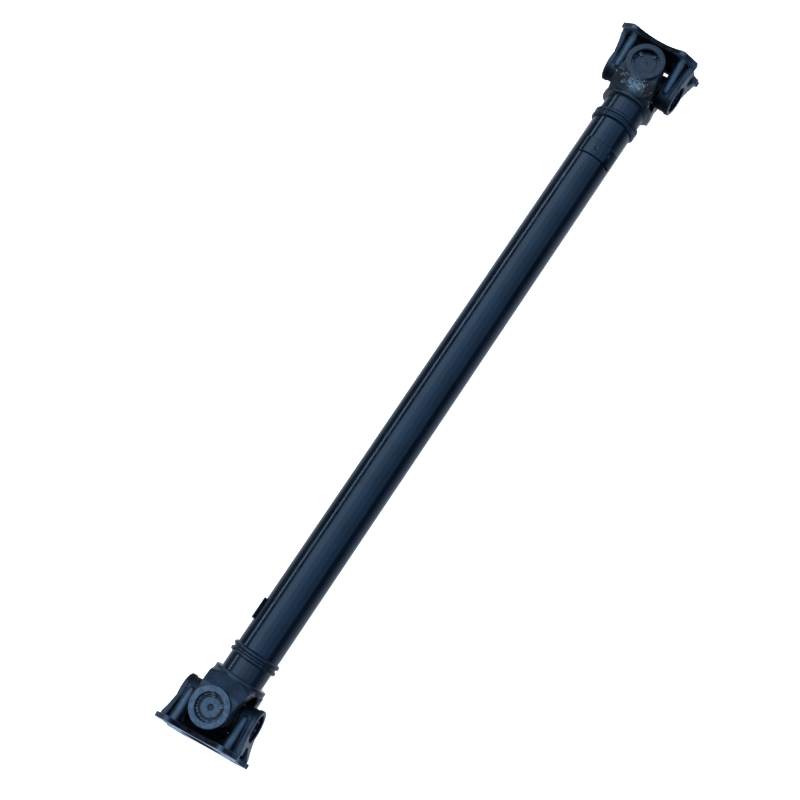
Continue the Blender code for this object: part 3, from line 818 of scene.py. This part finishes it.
def circlip(gap_middle):
    """The ring is a section spun round most of a turn; the lugs are added and drilled."""
    shape = bmesh.new()
    start = Matrix.Rotation(math.radians(gap_middle + CLIP_GAP / 2), 4, "Z")
    section = [(CLIP_INNER, CLIP_LOW), (CLIP_RADIUS, CLIP_LOW), (CLIP_RADIUS, CLIP_HIGH),
               (CLIP_INNER, CLIP_HIGH)]
    face = shape.faces.new([shape.verts.new(start @ Vector((r, 0, z))) for r, z in section])
    swept = math.radians(360.0 - CLIP_GAP)
    bmesh.ops.spin(shape, geom=[face] + list(face.edges) + list(face.verts), cent=(0, 0, 0), axis=(0, 0, 1),
                   angle=swept, steps=90)
    bmesh.ops.recalc_face_normals(shape, faces=shape.faces)
    opposite = math.radians(gap_middle + 180)
    middle = Vector((math.cos(opposite), math.sin(opposite), 0))
    for vert in shape.verts:
        flat = Vector((vert.co.x, vert.co.y, 0))
        if flat.length < CLIP_INNER + 0.1:
            vert.co -= flat.normalized() * CLIP_WIDENING * max(0.0, flat.normalized().dot(middle))
    for sign in (1, -1):
        angle = math.radians(gap_middle + sign * (CLIP_GAP / 2 + 3.0))
        seat = Matrix.Rotation(angle, 4, "Z") @ Matrix.Translation((LUG_REACH, 0, 0))
        lug = turned(filleted([(CLIP_LOW, 0, 0), (CLIP_LOW, LUG_RADIUS, 0.15), (CLIP_HIGH, LUG_RADIUS, 0.15),
                               (CLIP_HIGH, 0, 0)], 2), steps=28)
        lug.transform(seat)
        shape = combined(shape, lug, "UNION")
        eye = turned([(CLIP_LOW - 1, 0), (CLIP_LOW - 1, LUG_EYE), (CLIP_HIGH + 1, LUG_EYE),
                      (CLIP_HIGH + 1, 0)], steps=20)
        eye.transform(seat)
        shape = combined(shape, eye)
    return shape


def spring_paint(name, place):
    """Dip paint on spring steel, with paler patches in a noise pattern as painted highlights."""
    made, tree, shader, bench = begin_finish(name, place, **FILM)
    painted_highlight = blotches(tree, bench, 2.5, 0.45, 0.65, 4.0)
    # painted highlight: the paler of the two colours stands in for glints
    tree.links.new(tint(tree, painted_highlight, "141c26", "66788a"), shader.inputs["Base Color"])
    tree.links.new(between(tree, painted_highlight, 0.25, 0.40), shader.inputs["Roughness"])
    relief(tree, shader, painted_highlight, 0.02)
    return made


for side in ("rear", "front"):
    finish = spring_paint(side + "_spring_steel_dip_paint", JOINT_PLACE[side])
    for pin, body, place in pins_of(side):
        fit(f"{side}_snap_ring_{pin}", circlip(GAP_MIDDLE[side]), place, finish, body, "spring_steel",
            f"{side}_circlip_{pin}")


# ---- Flange yokes -----------------------------------------------------------------------------------
# Drop-forged steel with a four-lobed bolt flange. The lobes are drilled, the mounting face and its
# pilot recess are turned, and the bosses are bored. A band round each ear and a rib along each of its
# flanks carry the load down to the lobes.

FLANGE_BACK = 33.5
FLANGE_EAR_FACE = 45.0
FLANGE_EAR_RADIUS = 20.0
LOBE_REACH = 59.3
LOBE_HALF_WIDTH = 13.2
LOBE_CORNER = 4.0
WAIST_CORNER = 24.0
WAIST_FILLET = 44.0
FOOT = 28.0
EAR_END = FLANGE_FACE + 3.0
BOLT_CIRCLE = 46.5
BOLT_RADIUS = 5.5
BOLT_CHAMFER = 1.2
PILOT_RADIUS = 23.5
PILOT_CHAMFER = 0.7
BAND = 39.6
RIB_CREST = 17.8
RIB_FOOT_RADIUS = 6.6
RIB_TIP_RADIUS = 3.4


def flange_outline():
    """Four lobes on the diagonals with soft corners, joined by concave waists."""
    corners = []
    for quarter in range(4):
        out = Vector((1, 1)).normalized()
        along = Vector((-out.y, out.x))
        turn = Matrix.Rotation(math.radians(90 * quarter), 2)
        for step in (-1, 1):
            tip = turn @ (out * LOBE_REACH + along * LOBE_HALF_WIDTH * step)
            corners.append((tip.x, tip.y, LOBE_CORNER))
        waist = turn @ Vector((0, WAIST_CORNER))
        corners.append((waist.x, waist.y, WAIST_FILLET))
    return filleted(corners, 8)


def rib(foot, foot_radius, tip, tip_radius):
    """A rounded rib that swells from its tip to its foot."""
    shape = bmesh.new()
    for centre, radius in ((foot, foot_radius), (tip, tip_radius)):
        bmesh.ops.create_icosphere(shape, subdivisions=3, radius=radius, matrix=Matrix.Translation(centre))
    points = [vert.co.copy() for vert in shape.verts]
    shape.clear()
    hull = bmesh.ops.convex_hull(shape, input=[shape.verts.new(point) for point in points])
    bmesh.ops.delete(shape, geom=hull["geom_interior"], context="VERTS")
    return shape


def ear_slab(profile, radius, knee, foot):
    """A slab of an ear from its profile in plan, rounded over the pin and flared from knee to foot."""
    flare = math.degrees(math.asin((FOOT - FLANGE_EAR_RADIUS) / FLANGE_BACK)) * 0.8
    knee_at = 24.0
    side_view = arc(radius, 90 - flare, 270 + flare, 32)
    side_view += [(knee_at, -knee), (EAR_END, -foot), (EAR_END, foot), (knee_at, knee)]
    return combined(prism(profile, -PAST_ALL, PAST_ALL), prism(side_view, -PAST_ALL, PAST_ALL, "Y"),
                    "INTERSECT", "EXACT")


def flange_ear(turn):
    """One ear, and the cutters for the pocket in its outside, its waist and the grooves above its ribs."""
    skin = FLANGE_EAR_FACE - EAR_STEP
    tip = -30.0
    core = ear_slab([(tip, EAR_INNER), (22.0, EAR_INNER), (EAR_END, EAR_INNER - 8.0), (EAR_END, 43.0),
                     (tip, 42.0)], 18.9, 20.5, 24.0)
    band = ear_slab([(tip, BAND), (20.0, BAND + 0.4), (EAR_END, BAND + 3.0), (EAR_END, skin + 5.2),
                     (29.0, skin + 4.0), (20.0, skin + 2.0), (5.0, skin), (tip, skin)],
                    FLANGE_EAR_RADIUS - 0.6, 23.5, FOOT)
    ribs = [rib((FLANGE_BACK, 32.0, 21.5 * sign), RIB_FOOT_RADIUS, (-2.0, 32.9, 17.6 * sign), RIB_TIP_RADIUS)
            for sign in (1, -1)]
    ear = joined(core, band, *ribs)
    pocket = prism([(21.2, -4.0), (21.2, 4.0), (FLANGE_BACK, 17.0), (FLANGE_BACK, -17.0)],
                   38.5, PAST_ALL, "Y")
    waist = prism([(43.6, -15.0), (43.6, 15.0), (47.0, 21.0), (60.0, 24.0), (60.0, -24.0), (47.0, -21.0)],
                  FLANGE_BACK - 2.0, PAST_ALL, "X")
    groove = [(-5.0, 36.0), (33.0, 37.4), (33.0, 41.4), (-5.0, 38.2)]
    upper = prism(groove, RIB_CREST, PAST_ALL)
    lower = prism(groove, -PAST_ALL, -RIB_CREST)
    for shape in (ear, pocket, waist, upper, lower):
        shape.transform(turn)
    return ear, pocket, waist, upper, lower


def flange_yoke(crest):
    """The bolt flange, its two ears along Y and the saddle between them, whose middle rib has a crest."""
    plate = prism(flange_outline(), FLANGE_BACK, FLANGE_FACE + 2.0, "X")
    half = [(FLANGE_BACK + 2.0, 34.0), (31.8, 24.0), (29.6, 17.0), (24.6, 10.5), (22.0, 6.0), (crest, 4.2)]
    saddle = prism(half + [(x, -z) for x, z in reversed(half)], -EAR_INNER - 1.0, EAR_INNER + 1.0, "Y")
    near, *near_cutters = flange_ear(Matrix.Identity(4))
    far, *far_cutters = flange_ear(FLIP)
    skin = forged(joined(plate, saddle, near, far), FLANGE_GRAIN, 0)
    for cutter in near_cutters + far_cutters:
        skin = combined(skin, cutter)
    skin = forged(skin, FLANGE_GRAIN, 5)
    for turn in (ACROSS, ACROSS @ FLIP):
        boss = faced_boss(FLANGE_EAR_RADIUS, FLANGE_EAR_FACE, BAND + 0.6)
        boss.transform(turn)
        skin = combined(skin, boss, "UNION")
    bores = bore_cutter(FLANGE_EAR_FACE)
    bores.transform(ACROSS)
    skin = combined(skin, bores)
    pilot_floor, waste_end = FLANGE_FACE - PILOT_DEPTH, FLANGE_FACE + 10.0
    facing = turned([(pilot_floor, 0), (pilot_floor, PILOT_RADIUS),
                     (FLANGE_FACE - PILOT_CHAMFER, PILOT_RADIUS), (FLANGE_FACE, PILOT_RADIUS + PILOT_CHAMFER),
                     (FLANGE_FACE, 80.0), (waste_end, 80.0), (waste_end, 0)], "X")
    skin = combined(skin, facing)
    sunk = BOLT_RADIUS + BOLT_CHAMFER
    for quarter in range(4):
        hole = turned([(25.0, 0), (25.0, BOLT_RADIUS), (FLANGE_FACE - BOLT_CHAMFER / 2, BOLT_RADIUS),
                       (FLANGE_FACE + BOLT_CHAMFER / 2, sunk), (50.0, sunk), (50.0, 0)], "X", 48)
        hole.transform(Matrix.Translation((0, 0, BOLT_CIRCLE)))
        hole.transform(Matrix.Rotation(math.radians(45 + 90 * quarter), 4, "X"))
        skin = combined(skin, hole)
    return skin


# The rear saddle's crest stands higher than the front's so that dark, shaded metal fills a gap where there is only
# shade; the two flange yokes are otherwise the same part.
CREST = {"rear": 17.5, "front": 22.0}
FLANGE_SKIN = ("131c27", "223146")
FLANGE_FACED = ("26364a", "3c5066")
for side in ("rear", "front"):
    finish = yoke_paint(side + "_flange_dip_paint", FLANGE_PLACE[side], 1, FLANGE_EAR_FACE, FLANGE_SKIN,
                        FLANGE_FACED, bare_end=True)
    fit(side + "_bolt_yoke", flange_yoke(CREST[side]), FLANGE_PLACE[side], finish, side + "_flange",
        "flange_paint", side + "_flange_yoke")


# ---- Floor, light and camera ------------------------------------------------------------------------
# A backlit white table under a dark studio, with strip soft boxes laid along the shaft: they fall off
# in brightness from one side of it to the other, which is what the gloss paint shows.

TABLE_HALF_WIDTH = 6.0
CAMERA_TURN = (16.115, 6.844, -56.116)

table = bmesh.new()
bmesh.ops.create_grid(table, x_segments=1, y_segments=1, size=TABLE_HALF_WIDTH)
bmesh.ops.translate(table, verts=table.verts, vec=(0, 0, cad_box[0][2]))
floor_mesh = bpy.data.meshes.new("table")
table.to_mesh(floor_mesh)
table.free()
floor = bpy.data.objects.new("table", floor_mesh)
bpy.context.scene.collection.objects.link(floor)
floor.visible_glossy = False
floor.visible_diffuse = False
table_white, tree, shader, bench = begin_finish("backlit_white_acrylic", SHAFT_PLACE, Roughness=0.6,
                                                Base_Color=linear("f4f5f6"))
shader.inputs["Emission Color"].default_value = linear("ffffff")
shader.inputs["Emission Strength"].default_value = 1.0
floor_mesh.materials.append(table_white)

world = bpy.data.worlds.new("studio")
world.use_nodes = True
sky = world.node_tree
heading = add(sky, "ShaderNodeTexCoord", {})
upwards = add(sky, "ShaderNodeSeparateXYZ", {0: heading.outputs["Generated"]}).outputs[2]
below = add(sky, "ShaderNodeMapRange", {0: upwards, 1: -0.05, 2: -0.55}).outputs[0]
seen = add(sky, "ShaderNodeLightPath", {}).outputs["Is Camera Ray"]
around = tint(sky, below, "262a30", "c6d2e0")
sky.links.new(tint(sky, seen, around, "ffffff"), sky.nodes["Background"].inputs[0])
bpy.context.scene.world = world


def strip_box(name, angle, width, radiance, colour, along=(-1.6, 2.2), distance=2.0):
    """A soft box laid along the shaft: the angle from straight up towards +Y and the width are degrees."""
    light = bpy.data.lights.new(name, "AREA")
    light.shape = "RECTANGLE"
    light.size = along[1] - along[0]
    light.size_y = 2 * distance * math.tan(math.radians(width / 2))
    light.energy = radiance * math.pi * light.size * light.size_y
    light.color = colour
    box = bpy.data.objects.new(name, light)
    box.location = (sum(along) / 2, distance * math.sin(math.radians(angle)),
                    distance * math.cos(math.radians(angle)))
    box.rotation_euler = (math.radians(-angle), 0, 0)
    bpy.context.scene.collection.objects.link(box)
    return box


strip_box("main_strip", 30.0, 34.0, 2.2, (0.82, 0.95, 1.0))
strip_box("top_strip", 0.0, 26.0, 1.6, (0.66, 0.86, 1.0))
strip_box("second_strip", -27.0, 28.0, 1.1, (0.55, 0.80, 1.0))
strip_box("low_strip", -56.0, 30.0, 0.75, (0.48, 0.72, 1.0))
strip_box("edge_strip", 68.0, 6.0, 5.0, (0.85, 0.93, 1.0))

camera = bpy.data.cameras.new("camera")
camera.sensor_width = 36.0
camera.lens = 59.8186
camera_object = bpy.data.objects.new("camera", camera)
camera_object.location = (-0.28983, -0.34175, 1.40918)
camera_object.rotation_euler = Euler([math.radians(angle) for angle in CAMERA_TURN])
bpy.context.scene.collection.objects.link(camera_object)
bpy.context.scene.camera = camera_object
bpy.context.scene.view_settings.view_transform = "Standard"
